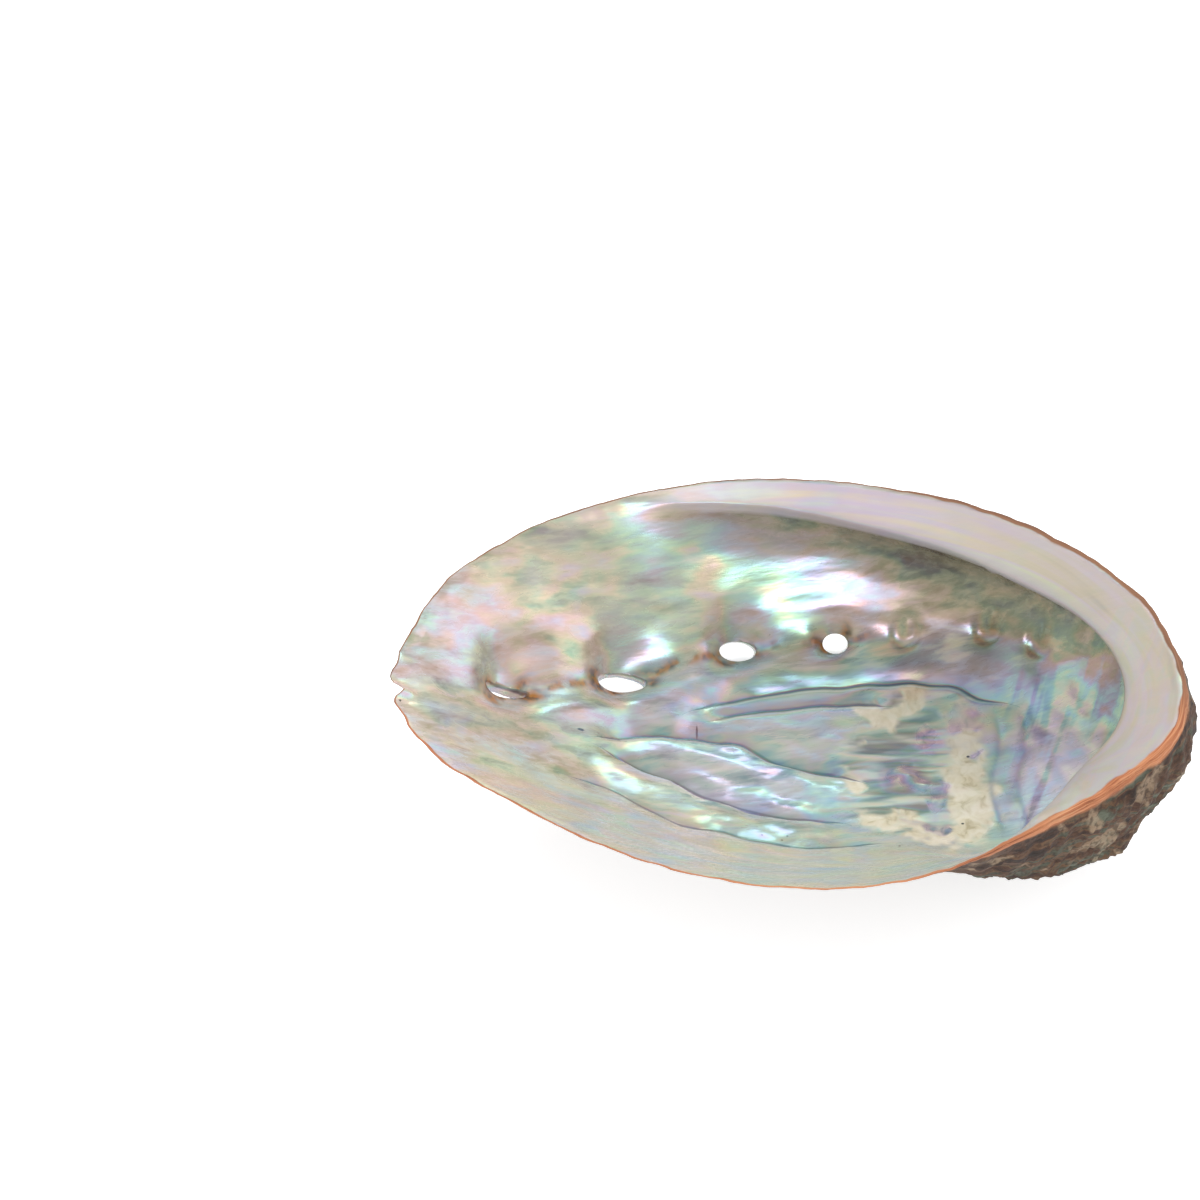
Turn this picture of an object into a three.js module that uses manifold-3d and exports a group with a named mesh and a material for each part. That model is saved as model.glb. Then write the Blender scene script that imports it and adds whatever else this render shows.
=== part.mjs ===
// Abalone shell lying on its back with its opening up, as it is set down on a table.
// Millimetres, +Z up. The origin is under the middle of the shell, on the surface it rests on.
// +X points to the spire end and +Y to the side with the row of breathing pores.
//
// The shell is drawn in its rim frame first: the rim lies near z = 0 and the bowl hangs below it.
// Each rim station holds the rim point and the section of the wall under it. A section runs from
// the rim down the outside to the bottom of the bowl, and back up the inside to the inner lip.

import * as THREE from 'three';
import Module from 'manifold-3d';
import { mergeVertices } from 'three/addons/utils/BufferGeometryUtils.js';

// Driving dimensions.
const bowlDepth = 14.5; // rim plane to the outside of the bowl's lowest point
const bowlCentre = new THREE.Vector2(7, 1.5); // plan position of that lowest point
const wallAtRim = 1.1; // wall thickness near the rim, measured in plan
const wallAtFloor = 1.4; // wall thickness at the bottom of the bowl
const spire = { x: 21, y: -7, height: 1.6, radius: 4.5 };
const pitch = 0; // degrees the rim plane leans along +X when the shell rests
const roll = 7; // degrees the rim plane leans towards +Y when the shell rests
const restingWear = 0.25; // depth of crust worn flat where the shell touches the surface

// Rim stations, counter-clockwise seen from inside, from the growing tip round the outer lip.
// wall: angle in degrees between the rim plane and the outside just under the rim.
// reach: length of that straight-going stretch. floor: how far out the flat bottom is felt.
// shelf: width of the lip in plan. drop: depth of its inner edge. hollow: depth of the undercut.
const stations = [
  { x: -29.7, y: -0.4, wall: 34, reach: 10, floor: 0.5, shelf: 0.8, drop: 0.2, hollow: 0 },
  { x: -26.9, y: -7.0, wall: 38, reach: 10, floor: 0.5, shelf: 0.8, drop: 0.2, hollow: 0 },
  { x: -20.6, y: -11.9, wall: 43, reach: 9, floor: 0.5, shelf: 0.8, drop: 0.2, hollow: 0 },
  { x: -13.1, y: -16.3, wall: 46, reach: 9, floor: 0.5, shelf: 0.8, drop: 0.2, hollow: 0 },
  { x: -4.5, y: -19.1, wall: 48, reach: 9, floor: 0.5, shelf: 0.8, drop: 0.2, hollow: 0 },
  { x: 4.5, y: -19.6, wall: 50, reach: 9, floor: 0.5, shelf: 0.8, drop: 0.2, hollow: 0 },
  { x: 12.0, y: -17.6, wall: 56, reach: 9, floor: 0.55, shelf: 0.9, drop: 0.3, hollow: 0 },
  { x: 18.4, y: -13.8, wall: 90, reach: 9.5, floor: 0.7, shelf: 1.6, drop: 1.2, hollow: 0.4 },
  { x: 24.6, y: -9.5, wall: 106, reach: 9.5, floor: 0.75, shelf: 4.2, drop: 2.4, hollow: 1 },
  { x: 28.8, y: -4.6, wall: 114, reach: 9, floor: 0.72, shelf: 4.8, drop: 1.8, hollow: 1 },
  { x: 29.0, y: 1.2, wall: 112, reach: 9, floor: 0.68, shelf: 4.3, drop: 1.4, hollow: 1 },
  { x: 26.4, y: 7.4, wall: 100, reach: 9, floor: 0.65, shelf: 4.5, drop: 1.2, hollow: 1 },
  { x: 20.7, y: 12.7, wall: 84, reach: 9, floor: 0.6, shelf: 4.7, drop: 1.0, hollow: 1 },
  { x: 13.4, y: 16.5, wall: 74, reach: 9, floor: 0.55, shelf: 4.2, drop: 0.8, hollow: 1 },
  { x: 4.5, y: 18.5, wall: 70, reach: 9, floor: 0.55, shelf: 3.6, drop: 0.6, hollow: 1 },
  { x: -5.0, y: 18.7, wall: 64, reach: 9, floor: 0.52, shelf: 2.5, drop: 0.4, hollow: 0.7 },
  { x: -14.0, y: 16.6, wall: 54, reach: 9, floor: 0.5, shelf: 1.2, drop: 0.2, hollow: 0.1 },
  { x: -21.5, y: 12.8, wall: 44, reach: 9, floor: 0.5, shelf: 0.8, drop: 0.2, hollow: 0 },
  { x: -26.7, y: 7.8, wall: 37, reach: 10, floor: 0.5, shelf: 0.8, drop: 0.2, hollow: 0 },
];

// Breathing pores from the youngest, at the growing tip, back towards the spire.
// radius: half the bore's length. width: half its width.
// rise: how far its tube stands out. slant: how far the bore leans towards the growing tip.
const pores = [
  { x: -21.0, y: 3.2, radius: 1.9, width: 0.52, rise: 2.1, slant: -0.1, open: true },
  { x: -12.5, y: 6.8, radius: 1.9, width: 0.8, rise: 2.2, slant: -0.3, open: true },
  { x: -3.7, y: 10.6, radius: 1.4, width: 0.78, rise: 2.0, slant: -0.15, open: true },
  { x: 3.7, y: 11.6, radius: 0.95, width: 0.75, rise: 1.6, slant: 0, open: true },
  { x: 9.0, y: 11.5, radius: 0.7, width: 0.6, rise: 1.0, slant: 0, open: false },
  { x: 15.3, y: 11.1, radius: 0.7, width: 0.6, rise: 0.8, slant: 0, open: false },
  { x: 19.2, y: 9.6, radius: 0.6, width: 0.5, rise: 0.7, slant: 0, open: false },
];
const boreRun = new THREE.Vector3(1, 0, 0); // way the ovals of the bores run

// Mesh density.
const sectionCount = 112; // sections round the rim
const outsideSteps = 18;
const floorSteps = 15;
const underShelfSteps = 5;
const shelfSteps = 4;

const radians = THREE.MathUtils.degToRad;

// Uniform Catmull-Rom value of one station field, periodic in u from 0 to 1.
function field(name, u) {
  const n = stations.length;
  const place = (((u % 1) + 1) % 1) * n;
  const i = Math.floor(place);
  const t = place - i;
  const at = (k) => stations[(i + k + n) % n][name];
  const [a, b, c, d] = [at(-1), at(0), at(1), at(2)];
  return 0.5 * (2 * b + (c - a) * t + (2 * a - 5 * b + 4 * c - d) * t * t +
    (3 * b - a - 3 * c + d) * t * t * t);
}

function sectionAt(u) {
  const section = {};
  for (const name of Object.keys(stations[0])) section[name] = field(name, u);
  const spoke = new THREE.Vector2(section.x, section.y).sub(bowlCentre);
  section.radius = spoke.length();
  section.direction = spoke.normalize();
  return section;
}

// Section curves hold the distance from the bowl's centre as x and the height as y.
function wallCurve(section, inset, lift) {
  const { radius, reach, floor } = section;
  const angle = radians(section.wall);
  const top = new THREE.Vector2(radius - inset, 0);
  const bottom = lift - bowlDepth;
  return new THREE.CubicBezierCurve(
    top,
    new THREE.Vector2(top.x - reach * Math.cos(angle), -reach * Math.sin(angle)),
    new THREE.Vector2(floor * top.x, bottom),
    new THREE.Vector2(0, bottom),
  );
}

function outsideCurve(section) {
  return wallCurve(section, 0, 0);
}

// The inside from the bowl's centre out: floor and wall, underside of the lip, then its top.
function insidePoints(section) {
  const { radius, shelf, drop, hollow } = section;
  const wall = wallCurve(section, wallAtRim, wallAtFloor);
  const wallTop = 0.06 + 0.17 * Math.max(hollow, 0);
  const points = [];
  for (let i = 0; i < floorSteps; i++) {
    points.push(wall.getPoint(1 - (1 - wallTop) * (i / floorSteps)));
  }
  const foot = wall.getPoint(wallTop);
  const up = wall.getTangent(wallTop).negate();
  const nose = new THREE.Vector2(radius - shelf, -drop);
  const edge = Math.max(0.25, 0.9 * hollow);
  const under = new THREE.CubicBezierCurve(
    foot,
    foot.clone().addScaledVector(up, 0.2 + 1.6 * hollow),
    nose.clone().add(new THREE.Vector2(0.1, -edge - 0.1)),
    nose,
  );
  for (let i = 0; i < underShelfSteps; i++) points.push(under.getPoint(i / underShelfSteps));
  const top = new THREE.CubicBezierCurve(
    nose,
    nose.clone().add(new THREE.Vector2(0.02 * shelf, edge * 0.5)),
    new THREE.Vector2(radius - 0.5 * shelf, -0.35 * drop),
    new THREE.Vector2(radius, 0),
  );
  for (let i = 0; i < shelfSteps; i++) points.push(top.getPoint(i / shelfSteps));
  return points;
}

function toSpace(section, point) {
  return new THREE.Vector3(
    bowlCentre.x + section.direction.x * point.x,
    bowlCentre.y + section.direction.y * point.x,
    point.y,
  );
}

// The outside point and outward normal over a plan position.
function outsideAt(x, y) {
  const spoke = new THREE.Vector2(x, y).sub(bowlCentre);
  const distance = spoke.length();
  const bearing = (u) => Math.abs(sectionAt(u).direction.cross(spoke.clone().normalize()));
  const facing = (u) => sectionAt(u).direction.dot(spoke) > 0;
  let best = 0;
  for (let i = 1; i < 2000; i++) {
    const u = i / 2000;
    if (facing(u) && (!facing(best) || bearing(u) < bearing(best))) best = u;
  }
  const curve = outsideCurve(sectionAt(best));
  let [low, high] = [0, 1];
  while (high - low > 1e-4) {
    const middle = (low + high) / 2;
    if (curve.getPoint(middle).x > distance) low = middle;
    else high = middle;
  }
  const point = toSpace(sectionAt(best), curve.getPoint(low));
  const beside = toSpace(sectionAt(best + 0.002), outsideCurve(sectionAt(best + 0.002)).getPoint(low));
  const along = toSpace(sectionAt(best), curve.getPoint(low + 0.01));
  const normal = along.sub(point).cross(beside.sub(point)).normalize();
  if (normal.z > 0) normal.negate();
  return { point, normal };
}

const poreSites = pores.map((pore) => ({ ...pore, ...outsideAt(pore.x, pore.y) }));
const spireSite = outsideAt(spire.x, spire.y);

// How far the crust stands out from the plain wall near the pores and the spire.
function relief(point, share) {
  const moved = point.clone();
  for (const site of poreSites) {
    const spread = 2.1 * site.radius;
    const near = Math.exp(-((point.distanceTo(site.point) / spread) ** 2));
    moved.addScaledVector(site.normal, share * site.rise * near);
  }
  const near = Math.exp(-((point.distanceTo(spireSite.point) / spire.radius) ** 2));
  return moved.addScaledVector(spireSite.normal, share * spire.height * near);
}

// Rings from the outside's lowest point up to the rim and down the inside to the inner lowest point.
function shellRings() {
  const rings = [];
  const outsideCount = outsideSteps;
  for (let j = 0; j < sectionCount; j++) {
    const section = sectionAt(j / sectionCount);
    const outside = outsideCurve(section);
    const line = [];
    for (let i = 1; i <= outsideCount; i++) {
      line.push(relief(toSpace(section, outside.getPoint(1 - i / outsideCount)), 1));
    }
    const inside = insidePoints(section).slice(1).reverse();
    for (const p of inside) line.push(relief(toSpace(section, p), 0.75));
    rings.push(line);
  }
  return rings;
}

function shellGeometry() {
  const lines = shellRings();
  const count = lines[0].length;
  const vertices = lines.flat();
  const outerPole = vertices.push(relief(new THREE.Vector3(bowlCentre.x, bowlCentre.y, -bowlDepth), 1)) - 1;
  const innerPole = vertices.push(
    relief(new THREE.Vector3(bowlCentre.x, bowlCentre.y, wallAtFloor - bowlDepth), 0.75)) - 1;
  const index = [];
  for (let j = 0; j < sectionCount; j++) {
    const a = j * count;
    const b = ((j + 1) % sectionCount) * count;
    index.push(outerPole, b, a);
    for (let i = 0; i < count - 1; i++) {
      index.push(a + i, b + i, b + i + 1, a + i, b + i + 1, a + i + 1);
    }
    index.push(innerPole, a + count - 1, b + count - 1);
  }
  const geometry = new THREE.BufferGeometry().setFromPoints(vertices);
  geometry.setIndex(index);
  return geometry;
}

const wasm = await Module();
wasm.setup();

function solidFrom(geometry) {
  const plain = geometry.clone();
  plain.deleteAttribute('normal');
  plain.deleteAttribute('uv');
  const merged = mergeVertices(plain);
  return new wasm.Manifold(new wasm.Mesh({
    numProp: 3,
    vertProperties: new Float32Array(merged.attributes.position.array),
    triVerts: new Uint32Array(merged.index.array),
  }));
}

function geometryFrom(solid) {
  const mesh = solid.getMesh();
  const geometry = new THREE.BufferGeometry();
  geometry.setAttribute('position', new THREE.BufferAttribute(new Float32Array(mesh.vertProperties), 3));
  geometry.setIndex(new THREE.BufferAttribute(new Uint32Array(mesh.triVerts), 1));
  return geometry;
}

// A tapered oval drill through the wall, wider inside the shell.
function poreDrill(site) {
  const length = 9;
  const drill = new THREE.CylinderGeometry(0.97, 1.08, length, 14);
  drill.scale(site.radius, 1, site.width);
  const lean = new THREE.Vector3(-site.slant, 0, 0);
  const axis = site.normal.clone().add(lean).normalize();
  const side = boreRun.clone().cross(axis).normalize();
  const row = axis.clone().cross(side);
  drill.applyMatrix4(new THREE.Matrix4().makeBasis(row, axis, side));
  return drill.translate(site.point.x, site.point.y, site.point.z);
}

function drilledShell() {
  let solid = solidFrom(shellGeometry());
  for (const site of poreSites.filter((pore) => pore.open)) {
    solid = solid.subtract(solidFrom(poreDrill(site)));
  }
  return geometryFrom(solid);
}

// Lays the shell down: leans it, drops it to the surface and wears the touching crust flat.
function laidDown(geometry) {
  geometry.rotateX(radians(-roll));
  geometry.rotateY(radians(pitch));
  geometry.computeBoundingBox();
  const { min, max } = geometry.boundingBox;
  geometry.translate(-(min.x + max.x) / 2, -(min.y + max.y) / 2, -min.z - restingWear);
  const position = geometry.attributes.position;
  for (let i = 0; i < position.count; i++) position.setZ(i, Math.max(0, position.getZ(i)));
  geometry.computeVertexNormals();
  return geometry;
}

const shellMaterial = new THREE.MeshStandardMaterial({ color: 0xc9cdbf, roughness: 0.3, metalness: 0 });
const shell = new THREE.Mesh(laidDown(drilledShell()), shellMaterial);
shell.name = 'shell';

const part = new THREE.Group();
part.add(shell);

export default part;
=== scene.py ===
"""Looks of an abalone shell lying on its back: pearly bowl, flat inner lip, breathing pores, crusted outside.

Lengths are in millimetres until a mesh is written. The wall is drawn in its rim frame, with the rim
near z = 0 and the bowl below it, and is then leaned and set down as it rests.
"""

import logging
import math
from dataclasses import dataclass, field
from enum import Enum

import bpy
import numpy as np
from mathutils import Matrix, Quaternion, Vector, noise
from mathutils.kdtree import KDTree


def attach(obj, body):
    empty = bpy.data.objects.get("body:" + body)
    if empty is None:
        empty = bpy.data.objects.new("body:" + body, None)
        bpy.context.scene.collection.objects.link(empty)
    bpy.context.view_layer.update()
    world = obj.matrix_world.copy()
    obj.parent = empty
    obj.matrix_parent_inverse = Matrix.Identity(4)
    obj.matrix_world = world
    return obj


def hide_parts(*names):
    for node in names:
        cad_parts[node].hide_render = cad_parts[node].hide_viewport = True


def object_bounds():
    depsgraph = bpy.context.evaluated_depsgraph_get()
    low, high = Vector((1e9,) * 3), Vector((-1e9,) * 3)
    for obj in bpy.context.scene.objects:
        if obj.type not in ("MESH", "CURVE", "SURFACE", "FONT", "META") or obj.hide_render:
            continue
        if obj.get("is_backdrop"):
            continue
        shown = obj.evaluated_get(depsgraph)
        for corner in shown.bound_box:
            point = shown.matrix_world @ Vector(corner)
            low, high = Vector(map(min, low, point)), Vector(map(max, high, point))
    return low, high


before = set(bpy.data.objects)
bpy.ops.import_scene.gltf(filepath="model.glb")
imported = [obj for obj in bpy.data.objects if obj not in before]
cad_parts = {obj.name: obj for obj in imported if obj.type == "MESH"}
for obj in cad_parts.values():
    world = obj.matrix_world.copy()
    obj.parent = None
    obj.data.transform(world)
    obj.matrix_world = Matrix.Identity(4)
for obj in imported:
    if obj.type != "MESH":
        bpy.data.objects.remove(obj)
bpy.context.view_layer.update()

log = logging.getLogger("abalone")
MM = 0.001
# Heading in plan of the row of pores, towards the spire.
ROW = np.array([0.92, 0.38])
# Middle and two more lengths, or half lengths, of each spot in plan.
Ovals = tuple[tuple[float, float, float, float], ...]
# Place and screen colour of each stop of a ramp.
Stops = tuple[tuple[float, str], ...]


def deselect_all() -> None:
    """Leave object mode's selection empty."""
    for item in bpy.context.selected_objects:
        item.select_set(False)


def activate(item: bpy.types.Object) -> None:
    """Make one object the only selected and the active one."""
    deselect_all()
    item.select_set(True)
    bpy.context.view_layer.objects.active = item


def smoothstep(low: float, high: float, value: np.ndarray) -> np.ndarray:
    """Rise smoothly from 0 at low to 1 at high.

    Args:
        low: value where the step starts.
        high: value where it ends, which may be the smaller one.
        value: array to step.

    Returns:
        Array of the same shape, from 0 to 1.
    """
    t = np.clip((value - low) / (high - low), 0.0, 1.0)
    return t * t * (3.0 - 2.0 * t)


def fading(run: np.ndarray, fade: float) -> np.ndarray:
    """Share that rises from 0 over the first part of a run from 0 to 1 and falls over the last part."""
    return smoothstep(0.0, fade, run) * smoothstep(1.0, 1.0 - fade, run)


def through(a: np.ndarray, b: np.ndarray, c: np.ndarray, d: np.ndarray, t: np.ndarray | float) -> np.ndarray:
    """Point at t from b to c on the smooth curve that runs through four values."""
    return 0.5 * (2 * b + (c - a) * t + (2 * a - 5 * b + 4 * c - d) * t**2 + (3 * b - a - 3 * c + d) * t**3)


def rumple(points: np.ndarray, size: float, seed: float, octaves: int = 2) -> np.ndarray:
    """Fractal noise about 0, between -1 and 1 or so.

    Args:
        points: positions in millimetres, one row each.
        size: width of the largest lumps in millimetres.
        seed: shifts the pattern.
        octaves: number of ever finer layers.

    Returns:
        One value for each point.
    """
    shifted = points / size + np.array([seed, 1.7 * seed, -0.9 * seed])
    return np.array([noise.fractal(Vector(p), 1.0, 2.1, octaves) for p in shifted])


@dataclass(frozen=True)
class Station:
    """One place on the rim and the wall's section under it.

    wall is the angle in degrees between the rim plane and the outside just under the rim, reach the
    length of that stretch and floor how far out the flat bottom is felt. shelf is the lip's width in
    plan, drop the depth of its inner edge and hollow how far it overhangs.
    """

    x: float
    y: float
    wall: float
    reach: float
    floor: float
    shelf: float
    drop: float
    hollow: float


@dataclass(frozen=True)
class Pore:
    """A breathing pore: its place, half length and width of its bore, how far its mouth stands out.

    pit is the depth of the hollow round it inside, and slant how far the bore leans to the tip.
    """

    x: float
    y: float
    radius: float
    width: float
    rise: float
    pit: float
    slant: float
    is_open: bool


@dataclass(frozen=True)
class Fold:
    """A crease in the pearl where a later layer ends: its line in plan, height, and slow side's width."""

    line: tuple[tuple[float, float], ...]
    height: float
    width: float


@dataclass
class WallForm:
    """The wall's plain shape, before crust and pearl folds."""

    depth: float = 14.5
    centre: tuple[float, float] = (7.0, 1.5)
    rim_wall: float = 1.1
    floor_wall: float = 1.4
    roll: float = 7.0
    resting_wear: float = 0.25
    notch: tuple[float, float] = (-1.3, 0.7)
    spire: tuple[float, float] = (21.0, -7.0)
    spire_height: float = 1.6
    spire_radius: float = 4.5
    outside_steps: int = 58
    floor_steps: int = 128
    under_steps: int = 10
    shelf_steps: int = 10
    sections: int = 470
    stations: tuple[Station, ...] = (
        Station(-29.7, -0.4, 34, 10, 0.5, 0.8, 0.2, 0),
        Station(-26.9, -7.0, 38, 10, 0.5, 0.8, 0.2, 0),
        Station(-20.6, -11.9, 43, 9, 0.5, 0.8, 0.2, 0),
        Station(-13.1, -16.3, 46, 9, 0.5, 0.8, 0.2, 0),
        Station(-4.5, -19.1, 48, 9, 0.5, 0.8, 0.2, 0),
        Station(4.5, -19.6, 50, 9, 0.5, 0.8, 0.2, 0),
        Station(12.0, -17.6, 56, 9, 0.55, 0.9, 0.3, 0),
        Station(18.4, -13.8, 90, 9.5, 0.7, 1.6, 1.2, 0.4),
        Station(24.6, -9.5, 106, 9.5, 0.75, 4.2, 2.4, 1),
        Station(28.8, -4.6, 114, 9, 0.72, 4.8, 1.8, 1),
        Station(29.0, 1.2, 112, 9, 0.68, 4.3, 1.4, 1),
        Station(26.4, 7.4, 100, 9, 0.65, 4.5, 1.2, 1),
        Station(20.7, 12.7, 84, 9, 0.6, 4.7, 1.0, 1),
        Station(13.4, 16.5, 74, 9, 0.55, 4.2, 0.8, 1),
        Station(4.5, 18.5, 70, 9, 0.55, 3.6, 0.6, 1),
        Station(-5.0, 18.7, 64, 9, 0.52, 2.5, 0.4, 0.7),
        Station(-14.0, 16.6, 54, 9, 0.5, 1.2, 0.2, 0.1),
        Station(-21.5, 12.8, 44, 9, 0.5, 0.8, 0.2, 0),
        Station(-26.7, 7.8, 37, 10, 0.5, 0.8, 0.2, 0),
    )
    pores: tuple[Pore, ...] = (
        Pore(-21.0, 3.2, 1.9, 0.52, 2.1, 1.3, -0.1, True),
        Pore(-12.5, 6.8, 1.9, 0.8, 2.2, 1.5, -0.3, True),
        Pore(-3.7, 10.6, 1.4, 0.78, 2.0, 1.4, -0.15, True),
        Pore(3.7, 11.6, 0.95, 0.75, 1.6, 1.1, 0.0, True),
        Pore(9.0, 11.5, 0.7, 0.6, 1.0, 0.3, 0.0, False),
        Pore(15.3, 11.1, 0.7, 0.6, 0.8, 0.3, 0.0, False),
        Pore(19.2, 9.6, 0.6, 0.5, 0.7, 0.25, 0.0, False),
    )
    offset: np.ndarray = field(default_factory=lambda: np.zeros(3))

    def section(self, u: np.ndarray) -> dict[str, np.ndarray]:
        """Interpolate every station field round the rim.

        Args:
            u: places round the rim, from 0 to 1.

        Returns:
            Arrays by field name, with the plan radius and direction from the bowl's centre.
        """
        count = len(self.stations)
        place = (np.asarray(u) % 1.0) * count
        i = np.floor(place).astype(int)
        t = place - i
        found = {}
        for name in ("x", "y", "wall", "reach", "floor", "shelf", "drop", "hollow"):
            values = np.array([getattr(station, name) for station in self.stations], float)
            a, b, c, d = (values[(i + k) % count] for k in (-1, 0, 1, 2))
            found[name] = through(a, b, c, d, t)
        spoke = np.stack([found["x"] - self.centre[0], found["y"] - self.centre[1]], -1)
        found["radius"] = np.linalg.norm(spoke, axis=-1)
        found["direction"] = spoke / found["radius"][..., None]
        return found

    @staticmethod
    def bezier(corners: list[np.ndarray], t: np.ndarray) -> np.ndarray:
        """Points on cubic curves.

        Args:
            corners: four arrays of control points, one row for each curve.
            t: parameters along the curves, the same for all or one row for each curve.

        Returns:
            Array of curves by parameters by two.
        """
        a, b, c, d = (corner[:, None, :] for corner in corners)
        t = np.atleast_2d(t)[..., None]
        return (1 - t) ** 3 * a + 3 * (1 - t) ** 2 * t * b + 3 * (1 - t) * t**2 * c + t**3 * d

    def wall_corners(self, s: dict[str, np.ndarray], inset: float, lift: float) -> list[np.ndarray]:
        """Control points of a wall face, from the rim to the bottom of the bowl."""
        angle = np.radians(s["wall"])
        top = s["radius"] - inset
        bottom = np.full_like(top, lift - self.depth)
        return [
            np.stack([top, np.zeros_like(top)], -1),
            np.stack([top - s["reach"] * np.cos(angle), -s["reach"] * np.sin(angle)], -1),
            np.stack([s["floor"] * top, bottom], -1),
            np.stack([np.zeros_like(top), bottom], -1),
        ]

    def profiles(self, s: dict[str, np.ndarray]) -> np.ndarray:
        """Section outlines from the outer pole over the rim to the inner pole."""
        rising = 1 - np.arange(self.outside_steps + 1) / self.outside_steps
        outside = self.bezier(self.wall_corners(s, 0.0, 0.0), rising)
        hollow = np.maximum(s["hollow"], 0.0)
        edge = np.maximum(0.25, 0.9 * hollow)
        radius, shelf, drop = s["radius"], s["shelf"], s["drop"]
        nose = np.stack([radius - shelf, -drop], -1)
        top = self.bezier(
            [
                np.stack([radius, np.zeros_like(radius)], -1),
                np.stack([radius - 0.5 * shelf, -0.35 * drop], -1),
                nose + np.stack([0.02 * shelf, 0.5 * edge], -1),
                nose,
            ],
            np.arange(1, self.shelf_steps + 1) / self.shelf_steps,
        )
        start = (0.19 + 0.04 * hollow)[:, None]
        steps = np.arange(0, self.floor_steps + 1) / self.floor_steps
        inner = self.wall_corners(s, self.rim_wall, self.floor_wall)
        wall = self.bezier(inner, start + (1 - start) * steps[None, :])
        foot = wall[:, 0]
        up = foot - wall[:, 1]
        up /= np.linalg.norm(up, axis=-1, keepdims=True)
        under = self.bezier(
            [
                nose,
                nose + np.stack([np.full_like(edge, 0.1), -edge - 0.1], -1),
                foot + up * (0.2 + 1.6 * hollow)[:, None],
                foot,
            ],
            np.arange(1, self.under_steps + 1) / self.under_steps,
        )
        rim = np.stack([radius, np.zeros_like(radius)], -1)
        bevel = [rim, rim + np.array([-0.5, -0.1]), foot + up * 1.3, foot]
        lip = smoothstep(0.45, 0.05, hollow)[:, None, None]
        over = 0.3 * np.arange(1, self.shelf_steps + 1) / self.shelf_steps
        down = 0.3 + 0.7 * np.arange(1, self.under_steps + 1) / self.under_steps
        top += lip * (self.bezier(bevel, over) - top)
        under += lip * (self.bezier(bevel, down) - under)
        return np.concatenate([outside, top, under, wall[:, 1:]], axis=1)

    def to_space(self, s: dict[str, np.ndarray], profile: np.ndarray) -> np.ndarray:
        """Place section points round the bowl's centre."""
        flat = s["direction"][:, None, :] * profile[..., :1]
        return np.concatenate([flat + np.array(self.centre), profile[..., 1:]], -1)

    @property
    def rim_row(self) -> int:
        """Row of the grid that lies on the rim."""
        return self.outside_steps

    @property
    def rows(self) -> int:
        """Number of steps from pole to pole."""
        return self.outside_steps + self.shelf_steps + self.under_steps + self.floor_steps

    def outside_at(self, x: float, y: float) -> tuple[np.ndarray, np.ndarray]:
        """The outside's point over a plan position, and the outward normal there."""
        u = np.arange(0, 1, 1 / 1600)
        s = self.section(u)
        grid = self.to_space(s, self.bezier(self.wall_corners(s, 0.0, 0.0), np.linspace(0, 1, 400)))
        gap = np.hypot(grid[..., 0] - x, grid[..., 1] - y)
        j, i = np.unravel_index(np.argmin(gap), gap.shape)
        i = min(max(i, 1), grid.shape[1] - 2)
        along = grid[j, i + 1] - grid[j, i - 1]
        beside = grid[(j + 1) % len(u), i] - grid[j - 1, i]
        normal = np.cross(along, beside)
        normal /= np.linalg.norm(normal)
        return grid[j, i], normal if normal[2] < 0 else -normal

    @staticmethod
    def lean(points: np.ndarray, degrees: float) -> np.ndarray:
        """Turn points about X by some degrees, which takes the inner lip's side down."""
        cosine, sine = math.cos(math.radians(degrees)), math.sin(math.radians(degrees))
        turned = points.copy()
        turned[..., 1] = points[..., 1] * cosine + points[..., 2] * sine
        turned[..., 2] = points[..., 2] * cosine - points[..., 1] * sine
        return turned

    def lay_down(self, points: np.ndarray) -> np.ndarray:
        """Lean points by the roll and move them to where the shell rests."""
        return self.lean(points, self.roll) + self.offset

    def pick_up(self, points: np.ndarray) -> np.ndarray:
        """Take points from where the shell rests back to the rim frame."""
        return self.lean(points - self.offset, -self.roll)


class Face(Enum):
    """The shell's two kinds of surface, by material slot."""

    PEARL = 0
    CRUST = 1


def line_distance(line: tuple[tuple[float, float], ...], plan: np.ndarray) -> tuple[np.ndarray, np.ndarray]:
    """Signed distance from a smooth open line, and how far along it the nearest place is.

    Args:
        line: corner points in plan, drawn with +X.
        plan: positions in plan, one row each.

    Returns:
        Distance, positive on the line's left side, and the length run along the line.
    """
    corners = np.array(line, float)
    fine = []
    for k in range(len(corners) - 1):
        a, b, c, d = (corners[min(max(k + m, 0), len(corners) - 1)] for m in (-1, 0, 1, 2))
        for t in np.arange(0, 1, 0.2):
            fine.append(through(a, b, c, d, t))
    fine.append(corners[-1])
    best = np.full(len(plan), 1e9)
    signed = np.zeros(len(plan))
    run = np.zeros(len(plan))
    length = 0.0
    for start, end in zip(fine[:-1], fine[1:]):
        way = end - start
        size = float(np.hypot(*way))
        t = np.clip(((plan - start) @ way) / size**2, 0, 1)
        gap = plan - (start + t[:, None] * way)
        distance = np.hypot(gap[:, 0], gap[:, 1])
        side = np.where(way[0] * gap[:, 1] - way[1] * gap[:, 0] >= 0, 1.0, -1.0)
        near = distance < best
        best[near], signed[near] = distance[near], (side * distance)[near]
        run[near] = (length + t * size)[near]
        length += size
    return signed, run / length


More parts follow.
